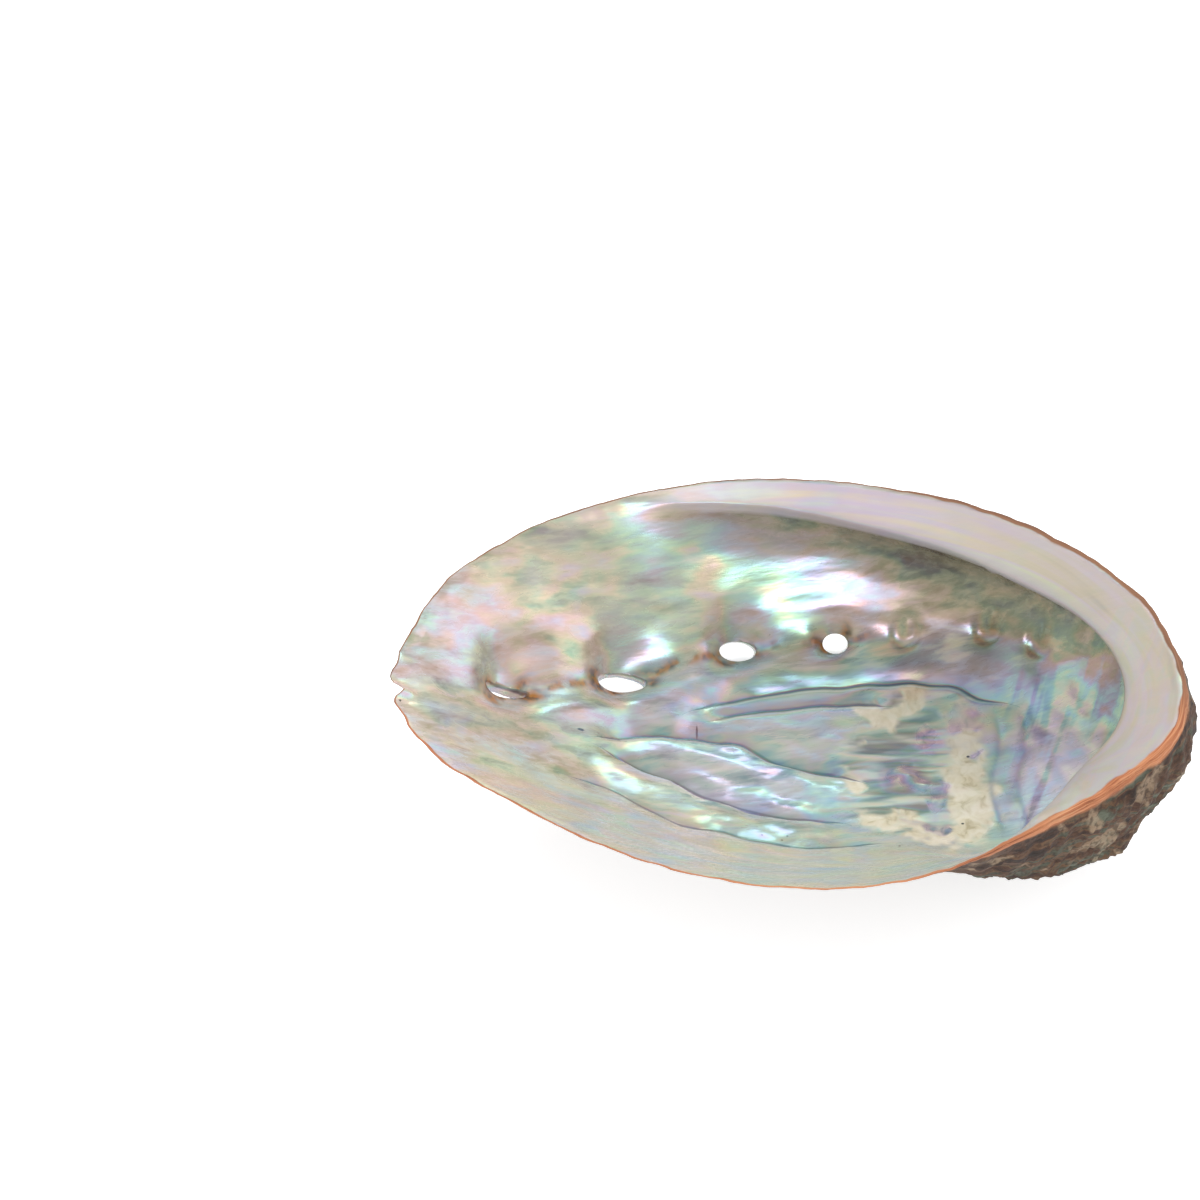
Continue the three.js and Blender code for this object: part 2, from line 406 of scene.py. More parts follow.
@dataclass
class GrowthMap:
    """Growth age and rim bearing of any point, from the spire's tip out to the rim."""

    form: WallForm
    coil: float = 1.6

    def measure(self, points: np.ndarray) -> tuple[np.ndarray, np.ndarray]:
        """Age from 0 at the spire's tip to 1 at the rim, and the rim bearing in radians.

        Args:
            points: positions in the rim frame.

        Returns:
            Two arrays, age and bearing.
        """
        tip = np.array([*self.form.spire, -0.93 * self.form.depth])
        s = self.form.section(np.linspace(0, 1, 721)[:-1])
        rim = np.stack([s["x"], s["y"], np.zeros_like(s["x"])], -1) - tip
        bearing = np.arctan2(rim[:, 1], rim[:, 0])
        order = np.argsort(bearing)
        reach = np.linalg.norm(rim, axis=1)[order]
        bearing = bearing[order]
        gap = points - tip
        own = np.arctan2(gap[:, 1], gap[:, 0])
        distance = np.linalg.norm(gap, axis=1)
        age = np.clip(distance / np.interp(own, bearing, reach, period=2 * math.pi), 0.02, 1.1)
        for _ in range(10):
            full = np.interp(own - np.log(age) / self.coil, bearing, reach, period=2 * math.pi)
            age = 0.5 * age + 0.5 * np.clip(distance / full, 0.02, 1.1)
        return age, own - np.log(age) / self.coil


@dataclass
class Relief:
    """Everything that stands out from or sinks into the plain wall."""

    form: WallForm
    growth: GrowthMap
    folds: tuple[Fold, ...] = (
        Fold(
            (
                (-8.0, 3.6), (-7.0, 4.3), (-5.0, 5.2), (-0.5, 6.6),
                (5.0, 7.2), (11.5, 7.1), (14.5, 5.9), (17.5, 4.6),
            ), 0.42, 1.2,
        ),
        Fold(
            (
                (-15.5, -0.2), (-11.5, 1.3), (-7.5, 1.8), (-4.0, 1.7),
                (-2.0, 0.8), (1.0, 0.1), (3.5, -0.6), (6.0, -1.6),
            ), 0.7, 1.3,
        ),
        Fold(
            (
                (-15.0, -0.6), (-12.5, -1.4), (-9.0, -2.4), (-5.5, -4.0),
                (-2.0, -5.1), (1.0, -5.2), (4.5, -6.0),
            ), 0.75, 1.4,
        ),
        Fold(
            (
                (-17.5, -4.6), (-13.5, -5.0), (-11.0, -6.4), (-8.5, -7.8),
                (-5.5, -7.9), (-3.0, -8.6), (2.5, -8.9), (7.5, -8.3),
            ), 0.3, 1.4,
        ),
        Fold(((-6.5, 3.2), (-3.5, 4.4), (0.0, 5.0), (4.5, 5.6), (8.0, 5.4)), 0.4, 1.0),
    )
    keel: tuple[tuple[float, float], ...] = (
        (-29.0, -1.0), (-20.7, 3.0), (-12.7, 6.8), (-3.8, 10.6),
        (3.7, 11.6), (9.0, 11.5), (15.3, 11.1), (19.2, 9.6), (23.0, 6.0),
    )
    scar_knobs: Ovals = (
        (13.4, -2.2, 1.1, 0.22), (8.7, -1.1, 1.1, 0.7), (10.4, 2.4, 0.7, 0.2), (-9.0, 3.2, 1.9, 0.4),
    )
    scar_grooves: tuple[float, ...] = (15.6, 17.6)
    waver: float = 0.25
    fold_fade: float = 0.16
    line_fade: float = 0.12
    inside_share: float = 0.35
    cream_patches: Ovals = (
        (13.4, -2.0, 1.8, 6.4), (6.5, 4.8, 1.6, 1.2), (6.8, -5.2, 2.3, 1.3),
        (4.6, -1.3, 1.0, 0.9), (9.6, 5.5, 2.2, 0.7), (11.5, -6.8, 3.2, 1.0),
    )
    violet_patches: Ovals = (
        (8.8, -1.2, 1.9, 1.3), (10.8, 2.4, 1.2, 1.0), (11.1, -3.2, 0.9, 1.8),
        (13.5, 3.9, 1.1, 0.8), (13.9, 1.4, 0.35, 0.3), (10.9, -6.0, 0.6, 0.7),
    )

    def __post_init__(self) -> None:
        """Find the pores' and the spire's places on the outside."""
        self.sites = [(pore, *self.form.outside_at(pore.x, pore.y)) for pore in self.form.pores]
        self.spire_site = self.form.outside_at(*self.form.spire)

    def stand_out(self, points: np.ndarray, share: float) -> np.ndarray:
        """Push the wall outward at the pores and the spire.

        Args:
            points: wall positions in the rim frame.
            share: part of the full rise that this face follows.

        Returns:
            Moved positions.
        """
        moved = points.copy()
        for pore, place, normal in self.sites:
            near = np.exp(-((np.linalg.norm(points - place, axis=1) / (2.1 * pore.radius)) ** 2))
            moved += share * pore.rise * near[:, None] * normal
        place, normal = self.spire_site
        near = np.exp(-((np.linalg.norm(points - place, axis=1) / self.form.spire_radius) ** 2))
        return moved + share * self.form.spire_height * near[:, None] * normal

    def pits(self, points: np.ndarray) -> np.ndarray:
        """Sink the inside into funnels at the pores: sharp below and towards the tip, easy elsewhere."""
        moved = points.copy()
        for pore, place, normal in self.sites:
            gap = points - (place - 1.3 * normal)
            row = np.array([-ROW[0], -ROW[1], 0.0])
            row -= normal * (row @ normal)
            row /= np.linalg.norm(row)
            rise = np.cross(normal, row)
            rise *= np.sign(rise[1])
            along, across = gap @ row, gap @ rise - 0.2 * pore.radius
            wide = np.where(along > 0, 0.95, 1.6) * pore.radius
            tall = np.where(across > 0, 1.5, 0.75) * pore.radius
            away = gap @ normal
            near = (along / wide) ** 2 + (across / tall) ** 2 + (np.maximum(np.abs(away) - 2.0, 0)) ** 2
            moved += pore.pit * np.exp(-near)[:, None] * normal
        return moved

    def crust(self, points: np.ndarray, from_rim: np.ndarray) -> np.ndarray:
        """Height of the crust: growth ledges, spiral cords, lumps, the spire's whorls and pore mouths.

        Args:
            points: outside positions in the rim frame.
            from_rim: distance down the outside from the rim.

        Returns:
            Outward height for each point.
        """
        age, bearing = self.growth.measure(points)
        inward = smoothstep(0.0, 3.0, from_rim)
        drift = rumple(points, 9.0, 3.1)
        ledge_phase = 26.0 * age + 1.2 * drift
        ledge = ledge_phase - np.floor(ledge_phase)
        height = 0.17 * (ledge**1.6 - 0.35) * (0.35 + 0.65 * inward)
        fine_phase = 90.0 * age + 2.0 * drift
        height += 0.035 * np.sin(2 * math.pi * fine_phase)
        cords = np.sin(34.0 * bearing + 1.5 * drift)
        height += 0.10 * cords * inward * smoothstep(0.12, 0.3, age)
        height += 0.28 * rumple(points, 3.6, 7.7, 3) * (0.25 + 0.75 * inward)
        lumps = rumple(points, 1.5, 11.3, 3)
        height += 0.11 * lumps * (0.4 + 0.6 * inward)
        growths = rumple(points, 5.0, 23.0, 2)
        warts = smoothstep(0.12, 0.34, growths) * (0.6 + 0.8 * np.abs(lumps))
        height += 0.38 * warts * smoothstep(0.5, 2.5, from_rim)
        gap = points - self.spire_site[0]
        distance = np.linalg.norm(gap, axis=1)
        own = np.arctan2(gap[:, 1], gap[:, 0])
        turn = (own - np.log(np.maximum(distance, 0.05) / 5.6) / 0.19) / (2 * math.pi)
        turn -= np.floor(turn)
        whorl = 0.55 * (1 - (2 * turn - 1) ** 4) - 0.25
        height += whorl * np.clip(distance / 3.0, 0.25, 1.0) * smoothstep(7.0, 5.0, distance)
        for pore, place, _ in self.sites:
            near = np.linalg.norm(points - place, axis=1) / pore.radius
            height += 0.3 * np.exp(-((near - 1.25) / 0.35) ** 2)
            if not pore.is_open:
                height -= 0.45 * np.exp(-((near / 0.75) ** 2))
        ridge, _ = line_distance(self.keel, points[:, :2])
        height += 0.35 * np.exp(-((ridge / 1.8) ** 2)) * inward
        front = smoothstep(15.0, 9.0, points[:, 0]) * smoothstep(-8.0, -13.0, points[:, 1])
        return height * (1.0 - 0.75 * front)

    def pearl(self, points: np.ndarray, rest: np.ndarray, from_rim: np.ndarray) -> np.ndarray:
        """Height of the pearl lining: folds, pillows, the muscle's scar and the dimples of sealed pores.

        Args:
            points: inside positions in the rim frame.
            rest: the same positions as the shell rests.
            from_rim: distance down the inside from the lip's inner edge.

        Returns:
            Height towards the hollow for each point.
        """
        age, bearing = self.growth.measure(points)
        inward = smoothstep(0.5, 5.0, from_rim)
        height = 0.16 * rumple(rest * (0.45, 1.0, 1.0), 3.4, 31.0, 2) * (0.15 + 0.85 * inward)
        height += 0.10 * rumple(rest, 7.0, 5.0, 1)
        wrinkle = rumple(np.stack([age * 60.0, 6 * np.cos(bearing), 6 * np.sin(bearing)], -1), 2.6, 9.0, 2)
        height += 0.02 * wrinkle
        plan = rest[:, :2]
        calm = smoothstep(15.0, 9.0, np.hypot(plan[:, 0] - 1.0, (plan[:, 1] + 1.0) * 1.25))
        height += 0.14 * rumple(rest * (0.6, 1.3, 1.0), 2.2, 41.0, 2) * calm
        for fold, gap, run in self.fold_runs(rest):
            ends = fading(run, self.fold_fade)
            below = np.maximum(-gap, 0)
            dip = np.where(gap >= 0, np.exp(-np.maximum(gap, 0) / fold.width), np.exp(-((below / 0.32) ** 2)))
            roll = 0.45 * np.exp(-(((below - 1.7) / 1.1) ** 2)) * (gap < 0)
            height += fold.height * (roll - dip) * ends
        across, along = plan[:, 0] * 0.66 - plan[:, 1] * 0.75, plan[:, 0] * 0.75 + plan[:, 1] * 0.66
        slant = np.stack([across, along * 0.25, rest[:, 2]], -1)
        silky = smoothstep(12.0, 8.0, np.hypot(plan[:, 0] + 3.5, (plan[:, 1] + 2.0) * 1.3))
        height += 0.05 * rumple(slant, 1.1, 67.0, 2) * silky
        marks = self.scar_marks(rest)
        height += 0.12 * marks["laps"] + marks["cream"] * (0.04 + 0.03 * rumple(rest, 0.9, 17.0, 2))
        for x, y, radius, rise in self.scar_knobs:
            height += rise * np.exp(-((np.hypot(plan[:, 0] - x, plan[:, 1] - y) / radius) ** 2))
        height -= 0.07 * self.grooves(rest, 0.35).sum(axis=0)
        ribs = np.sin(2 * math.pi * (plan[:, 0] + 0.45 * plan[:, 1] + 0.8 * rumple(rest, 3.0, 15.0, 1)) / 2.3)
        height += 0.03 * ribs * smoothstep(17.5, 19.0, plan[:, 0]) * inward
        for pore, place, _ in self.sites:
            if pore.is_open:
                continue
            near = np.linalg.norm(points[:, :2] - place[:2], axis=1)
            height += 0.2 * np.exp(-((near / 0.35) ** 2)) - 0.08 * np.exp(-(((near - 0.75) / 0.3) ** 2))
        ridge, _ = line_distance(self.keel, points[:, :2])
        height -= 0.3 * np.exp(-((ridge / 1.3) ** 2)) * inward
        height += 0.22 * np.exp(-(((ridge + 2.1) / 1.0) ** 2)) * inward * smoothstep(12.0, 6.0, plan[:, 0])
        return height

    def fold_runs(self, rest: np.ndarray) -> list[tuple[Fold, np.ndarray, np.ndarray]]:
        """Every fold, with how far each place is from its wavering line and along it.

        Args:
            rest: positions as the shell rests.

        Returns:
            Fold, distance that is positive on the fold's slow side, and run from 0 to 1, for each fold.
        """
        plan = rest[:, :2] + self.waver * rumple(rest, 2.5, 3.0, 1)[:, None]
        return [(fold, *line_distance(fold.line, plan)) for fold in self.folds]

    def grooves(self, rest: np.ndarray, width: float) -> np.ndarray:
        """Shares of the bowed grooves beside the scar, one row for each groove."""
        bow = 0.35 * np.sin(0.7 * rest[:, 1])
        tall = smoothstep(6.5, 4.0, np.abs(rest[:, 1] + 1.2))
        return np.array([np.exp(-(((rest[:, 0] - x - bow) / width) ** 2)) * tall for x in self.scar_grooves])

    @staticmethod
    def blots(patches: Ovals, plan: np.ndarray, ragged: np.ndarray) -> np.ndarray:
        """Soft ragged ovals.

        Args:
            patches: middle and half lengths of each oval in plan.
            plan: positions in plan.
            ragged: noise that frays their edges.

        Returns:
            Share from 0 to 1 at each position.
        """
        share = np.zeros(len(plan))
        for x, y, wide, tall in patches:
            oval = np.hypot((plan[:, 0] - x) / wide, (plan[:, 1] - y) / tall)
            share = np.maximum(share, smoothstep(1.3, 0.6, oval + 0.5 * ragged))
        return share

    def scar_marks(self, rest: np.ndarray) -> dict[str, np.ndarray]:
        """Shares of the muscle scar's marks: the whole scar, cream and violet patches, and lapped bands."""
        plan = rest[:, :2]
        flat = np.concatenate([plan, np.zeros((len(plan), 1))], 1)
        ragged = rumple(flat, 1.4, 13.0, 4)
        warp = np.stack([rumple(flat, 2.0, 14.0, 3), rumple(flat, 2.0, 15.0, 3)], -1)
        oval = np.hypot((plan[:, 0] - 10.2) / 6.6, (plan[:, 1] + 0.8) / 7.2)
        whole = smoothstep(1.1, 0.8, oval + 0.25 * ragged)
        cream = self.blots(self.cream_patches, plan + 1.3 * warp, ragged)
        violet = self.blots(self.violet_patches, plan + 0.9 * warp, 0.6 * ragged)
        laps = rumple(flat * (0.22, 1.5, 1.0), 1.2, 19.0, 2)
        laps *= smoothstep(1.5, 5.0, plan[:, 0]) * smoothstep(13.5, 10.5, plan[:, 0] + 2.0 * warp[:, 0])
        laps *= smoothstep(7.5, 5.5, np.abs(plan[:, 1]))
        return {"scar": whole, "cream": cream, "violet": violet, "laps": laps * (1.0 - cream)}


@dataclass
class ShellBody:
    """The whole shell as one closed mesh.

    ragged is the rim's wander in millimetres, rim_depth how deep a change of the rim is felt, and
    bore_ends a bore's width at its outer and inner end, as parts of the pore's own.
    """

    form: WallForm = field(default_factory=WallForm)
    ragged: tuple[float, float] = (0.16, 0.07)
    rim_depth: float = 1.5
    seam_gap: float = 2e-7
    bore_sides: int = 56
    bore_ends: tuple[float, float] = (1.08, 0.97)
    bore_length: float = 10.0

    def __post_init__(self) -> None:
        """Prepare the maps that the shape and the finishes share."""
        self.growth = GrowthMap(self.form)
        self.relief = Relief(self.form, self.growth)

    def plain_grid(self) -> np.ndarray:
        """Wall positions in the rim frame, one row for each section, pores and spire standing out."""
        form = self.form
        u = np.arange(form.sections) / form.sections
        s = form.section(u)
        beside = s["y"] - form.notch[0]
        tip = form.notch[1] * np.exp(-((beside / 0.42) ** 2)) * (s["x"] < -20)
        lobes = 0.3 * np.exp(-(((np.abs(beside) - 1.3) / 0.8) ** 2)) * (s["x"] < -20)
        ring = np.stack([s["x"], s["y"], np.zeros_like(u)], -1)
        wander = self.ragged[0] * rumple(ring, 2.6, 51.0, 2) + self.ragged[1] * rumple(ring, 0.9, 53.0, 2)
        grid = form.to_space(s, form.profiles(s))
        from_rim = self.run_from_rim(grid)
        shift = (lobes + wander - tip)[:, None] * np.exp(-((from_rim / self.rim_depth) ** 2))
        grid[..., :2] += s["direction"][:, None, :] * shift[..., None]
        shape = grid.shape
        out = np.arange(shape[1]) <= form.rim_row
        flat = grid.reshape(-1, 3)
        outer = np.tile(out, shape[0])
        moved = np.empty_like(flat)
        moved[outer] = self.relief.stand_out(flat[outer], 1.0)
        moved[~outer] = self.relief.pits(self.relief.stand_out(flat[~outer], self.relief.inside_share))
        return moved.reshape(shape)

    def run_from_rim(self, grid: np.ndarray) -> np.ndarray:
        """Distance along each section from the rim."""
        step = np.linalg.norm(np.diff(grid, axis=1), axis=-1)
        run = np.concatenate([np.zeros((grid.shape[0], 1)), np.cumsum(step, axis=1)], axis=1)
        return np.abs(run - run[:, self.form.rim_row][:, None])

    @staticmethod
    def grid_normals(grid: np.ndarray) -> np.ndarray:
        """Outward unit normals of the wrapped grid."""
        beside = np.roll(grid, -1, axis=0) - np.roll(grid, 1, axis=0)
        along = np.gradient(grid, axis=1)
        normal = np.cross(beside, along)
        size = np.linalg.norm(normal, axis=-1, keepdims=True)
        normal = normal / np.maximum(size, 1e-9)
        for pole, ring in ((0, 2), (grid.shape[1] - 1, grid.shape[1] - 3)):
            mean = normal[:, ring].mean(axis=0)
            normal[:, pole] = mean / np.linalg.norm(mean)
        return normal

    def finished_grid(self) -> np.ndarray:
        """Wall positions as the shell rests, with crust and pearl relief."""
        form = self.form
        grid = self.plain_grid()
        from_rim = self.run_from_rim(grid)
        nose = form.rim_row + form.shelf_steps
        from_nose = np.where(np.arange(grid.shape[1]) > nose, from_rim - from_rim[:, nose][:, None], 0.0)
        normal = self.grid_normals(grid)
        if normal[:, 2, 2].mean() > 0:
            normal = -normal
        low = form.lay_down(grid)
        least, most = low.min(axis=(0, 1)), low.max(axis=(0, 1))
        middle = (least + most) / 2
        form.offset = np.array([-middle[0], -middle[1], -least[2] - form.resting_wear])
        rest = form.lay_down(grid)
        height = np.zeros(grid.shape[:2])
        out = np.s_[:, 1 : form.rim_row + 1]
        crust = self.relief.crust(grid[out].reshape(-1, 3), from_rim[out].reshape(-1))
        height[out] = crust.reshape(height[out].shape) * smoothstep(0.0, 0.8, from_rim[out])
        inn = np.s_[:, nose:-1]
        inside, laid = grid[inn].reshape(-1, 3), rest[inn].reshape(-1, 3)
        pearl = self.relief.pearl(inside, laid, from_nose[inn].reshape(-1))
        height[inn] = pearl.reshape(height[inn].shape) * smoothstep(0.0, 1.5, from_nose[inn])
        top = np.s_[:, form.rim_row + 1 : nose]
        flat = rest[top].reshape(-1, 3)
        grain = 0.05 * (rumple(flat, 1.6, 61.0, 3) + rumple(flat * (0.3, 1.6, 1.0), 1.6, 63.0, 2))
        height[top] = grain.reshape(height[top].shape) * smoothstep(0.0, 0.6, from_rim[top])
        height[:, 0] = height[:, 1].mean()
        height[:, -1] = height[:, -2].mean()
        moved = grid + height[..., None] * normal
        self.from_rim, self.from_nose = from_rim, from_nose
        placed = form.lay_down(moved)
        placed[..., 2] = np.maximum(placed[..., 2], 0.0)
        self.grid_rest = placed
        return placed

    def build(self) -> bpy.types.Object:
        """Model the shell from a grid: shape it, close its seam and poles, and drill the open pores."""
        form = self.form
        placed = self.finished_grid()
        deselect_all()
        bpy.ops.mesh.primitive_grid_add(x_subdivisions=form.sections, y_subdivisions=form.rows, size=2.0)
        shell = bpy.context.object
        shell.name = "shell_visual"
        mesh = shell.data
        corner = np.empty(len(mesh.vertices) * 3)
        mesh.vertices.foreach_get("co", corner)
        corner = corner.reshape(-1, 3)
        i = np.rint((corner[:, 0] + 1) / 2 * form.sections).astype(int) % form.sections
        j = np.rint((corner[:, 1] + 1) / 2 * form.rows).astype(int)
        where = placed[i, j]
        mesh.vertices.foreach_set("co", (where * MM).reshape(-1))
        mesh.update()
        activate(shell)
        bpy.ops.object.mode_set(mode="EDIT")
        bpy.ops.mesh.select_all(action="SELECT")
        bpy.ops.mesh.remove_doubles(threshold=self.seam_gap)
        bpy.ops.mesh.normals_make_consistent(inside=False)
        bpy.ops.object.mode_set(mode="OBJECT")
        self.drill(shell)
        mesh.materials.clear()
        mesh.materials.append(Pearl().make())
        mesh.materials.append(Crust().make())
        self.dress(shell)
        activate(shell)
        bpy.ops.object.shade_smooth()
        return shell

    def drill(self, shell: bpy.types.Object) -> None:
        """Cut the open pores with tapered bores along their own axes.

        Args:
            shell: the closed shell to cut.
        """
        for pore, place, normal in self.relief.sites:
            if not pore.is_open:
                continue
            spot = Vector(self.form.lay_down(place[None, :])[0] * MM)
            axis = Vector(self.form.lean(normal, self.form.roll))
            axis = (axis + Vector((-pore.slant, 0.0, 0.0))).normalized()
            side = axis.cross(Vector((1.0, 0.0, 0.0))).normalized()
            row = side.cross(axis)
            deselect_all()
            outer, inner = self.bore_ends
            bpy.ops.mesh.primitive_cone_add(vertices=self.bore_sides, radius1=outer, radius2=inner, depth=1.0)
            bore = bpy.context.object
            turn = Matrix((row * pore.radius, side * pore.width, axis * self.bore_length)).transposed()
            bore.data.transform(turn.to_4x4())
            bore.data.transform(Matrix.Translation(spot / MM))
            bore.data.transform(Matrix.Scale(MM, 4))
            cut = shell.modifiers.new("pore", "BOOLEAN")
            cut.operation = "DIFFERENCE"
            cut.solver = "MANIFOLD"
            cut.object = bore
            activate(shell)
            bpy.ops.object.modifier_apply(modifier=cut.name)
            bpy.data.objects.remove(bore, do_unlink=True)

    def dress(self, shell: bpy.types.Object) -> None:
        """Give every vertex the measures the finishes read, and every face its material slot.

        Args:
            shell: the drilled shell.
        """
        form = self.form
        mesh = shell.data
        count = len(mesh.vertices)
        spot = np.empty(count * 3)
        mesh.vertices.foreach_get("co", spot)
        spot = spot.reshape(-1, 3) / MM
        grid = self.grid_rest
        tree = KDTree(grid.shape[0] * grid.shape[1])
        for k, p in enumerate(grid.reshape(-1, 3)):
            tree.insert(p, k)
        tree.balance()
        near = np.array([tree.find(p)[1] for p in spot])
        row = near % grid.shape[1]
        distance = self.from_rim.reshape(-1)[near]
        outside = row <= form.rim_row
        rim_frame = form.pick_up(spot)
        age, bearing = self.growth.measure(rim_frame)
        nose = form.rim_row + form.shelf_steps
        hollow = np.clip(form.section(np.arange(form.sections) / form.sections)["hollow"], 0, 1)
        hollow_here = hollow[near // grid.shape[1]]
        marks = {name: share * (~outside) for name, share in self.relief.scar_marks(spot).items()}
        runs = self.relief.fold_runs(spot)
        fade = self.relief.line_fade
        lines = {f"fold_{k}": gap / np.maximum(fading(run, fade), fade) for k, (_, gap, run) in enumerate(runs)}
        measures = marks | lines | {
            "rim_gap": distance,
            "age": age,
            "shelf": ((row > form.rim_row) & (row <= nose + 2)) * hollow_here,
            # Painted shade: share of the hollow just under the overhanging inner lip.
            "cave": hollow_here * smoothstep(8.0, 1.0, self.from_nose.reshape(-1)[near]) * (row > nose),
            "stain": self.stain(rim_frame, row > nose + 1),
            "crease": self.crease(spot, runs) * (~outside),
            "furrow": self.furrow(rim_frame),
            "lip_band": self.lip_band(spot),
        }
        for name, values in measures.items():
            layer = mesh.attributes.new(name, "FLOAT", "POINT")
            layer.data.foreach_set("value", np.asarray(values, np.float32))
        flow = np.stack([age * 40.0, 9.0 * np.cos(bearing), 9.0 * np.sin(bearing)], -1)
        layer = mesh.attributes.new("flow", "FLOAT_VECTOR", "POINT")
        layer.data.foreach_set("vector", flow.astype(np.float32).reshape(-1))
        loops = np.empty(len(mesh.loops), int)
        mesh.loops.foreach_get("vertex_index", loops)
        starts = np.empty(len(mesh.polygons), int)
        mesh.polygons.foreach_get("loop_start", starts)
        face_out = np.minimum.reduceat(outside[loops].astype(int), starts)
        slots = np.where(face_out > 0, Face.CRUST.value, Face.PEARL.value)
        mesh.polygons.foreach_set("material_index", slots.astype(np.int32))
        mesh.update()

    def stain(self, points: np.ndarray, inside: np.ndarray) -> np.ndarray:
        """Brown staining round the pores and along the furrow between them."""
        stain = np.zeros(len(points))
        patchy = 0.5 + 0.9 * rumple(points, 1.2, 71.0, 2)
        for pore, place, _ in self.relief.sites:
            gap = points[:, :2] - place[:2]
            along, across = gap @ ROW, gap @ np.array([-ROW[1], ROW[0]])
            near = np.hypot(np.abs(along) - 0.8 * pore.radius, 1.1 * across) / pore.radius
            share = 0.85 if pore.is_open else 0.35
            stain = np.maximum(stain, share * smoothstep(1.05, 0.35, near) * np.clip(patchy + 0.2, 0, 1))
        gap, _ = line_distance(self.relief.keel, points[:, :2])
        furrow = np.exp(-((gap / 0.4) ** 2))
        furrow *= smoothstep(-24.0, -18.0, points[:, 0]) * smoothstep(8.0, 5.0, points[:, 0])
        stain = np.maximum(stain, 0.7 * furrow * smoothstep(0.3, 0.7, patchy))
        return stain * inside

    def furrow(self, points: np.ndarray) -> np.ndarray:
        """Painted shade: a greyer belt along the sunken furrow under the row of open pores."""
        gap, _ = line_distance(self.relief.keel, points[:, :2])
        belt = np.exp(-(((gap + 1.6) / 3.2) ** 2))
        return belt * smoothstep(-28.0, -22.0, points[:, 0]) * smoothstep(4.0, -6.0, points[:, 0])

    def crease(self, spot: np.ndarray, runs: list[tuple[Fold, np.ndarray, np.ndarray]]) -> np.ndarray:
        """Dark shade beside each fold's steep side, and along the scar's grooves.

        Args:
            spot: positions as the shell rests.
            runs: what fold_runs says of them.

        Returns:
            Share from 0 to 1 at each position.
        """
        dark = 0.55 * self.relief.grooves(spot, 0.22).max(axis=0)
        for fold, gap, run in runs:
            shade = np.where(gap >= 0, np.exp(-np.maximum(gap, 0) / 0.8), np.exp(np.minimum(gap, 0) / 0.1))
            strength = 0.75 * min(1.0, fold.height / 0.4)
            dark = np.maximum(dark, strength * shade * fading(run, self.relief.fold_fade))
        return np.clip(dark, 0, 1)

    @staticmethod
    def lip_band(spot: np.ndarray) -> np.ndarray:
        """Width in millimetres of the coloured lip edge, widest near the spire."""
        right = smoothstep(4.0, 16.0, spot[:, 0]) * smoothstep(2.0, -4.0, spot[:, 1])
        front = smoothstep(0.0, -8.0, spot[:, 1])
        back = smoothstep(6.0, 18.0, spot[:, 0]) * smoothstep(-3.0, 3.0, spot[:, 1])
        width = 0.12 + 0.2 * front + 0.36 * right + 0.3 * back
        return width * (1.0 + 0.45 * rumple(spot, 1.8, 81.0, 2))


@dataclass
class Value:
    """A float socket that takes part in Python arithmetic."""

    graph: "Graph"
    socket: bpy.types.NodeSocket

    def calculate(self, operation: str, *others: "Value | float") -> "Value":
        """Add one Math node fed by this value and the others."""
        return self.graph.maths(operation, self, *others)

    def __add__(self, other: "Value | float") -> "Value":
        """Sum."""
        return self.calculate("ADD", other)

    __radd__ = __add__

    def __mul__(self, other: "Value | float") -> "Value":
        """Product."""
        return self.calculate("MULTIPLY", other)

    __rmul__ = __mul__

    def __sub__(self, other: "Value | float") -> "Value":
        """Difference."""
        return self.calculate("SUBTRACT", other)

    def __rsub__(self, other: float) -> "Value":
        """Difference from a number."""
        return self.graph.maths("SUBTRACT", other, self)

    def __truediv__(self, other: "Value | float") -> "Value":
        """Quotient."""
        return self.calculate("DIVIDE", other)

    def __pow__(self, other: float) -> "Value":
        """Power."""
        return self.calculate("POWER", other)

    def clamp(self) -> "Value":
        """Limit to the range 0 to 1."""
        return self.calculate("MINIMUM", 1.0).calculate("MAXIMUM", 0.0)

    def step(self, low: float, high: float) -> "Value":
        """Rise smoothly from 0 at low to 1 at high, or fall where high is the smaller."""
        ends = (low, high, 0.0, 1.0) if high > low else (high, low, 1.0, 0.0)
        sockets = {"Value": self} | dict(zip(("From Min", "From Max", "To Min", "To Max"), ends))
        node = self.graph.node("ShaderNodeMapRange", {"interpolation_type": "SMOOTHSTEP"}, sockets)
        return Value(self.graph, node.outputs["Result"])


def tint(code: str) -> tuple[float, float, float, float]:
    """Turn a six-digit screen colour into the linear colour that shaders use."""
    parts = [int(code[k : k + 2], 16) / 255 for k in (0, 2, 4)]
    return (*[c / 12.92 if c <= 0.04045 else ((c + 0.055) / 1.055) ** 2.4 for c in parts], 1.0)


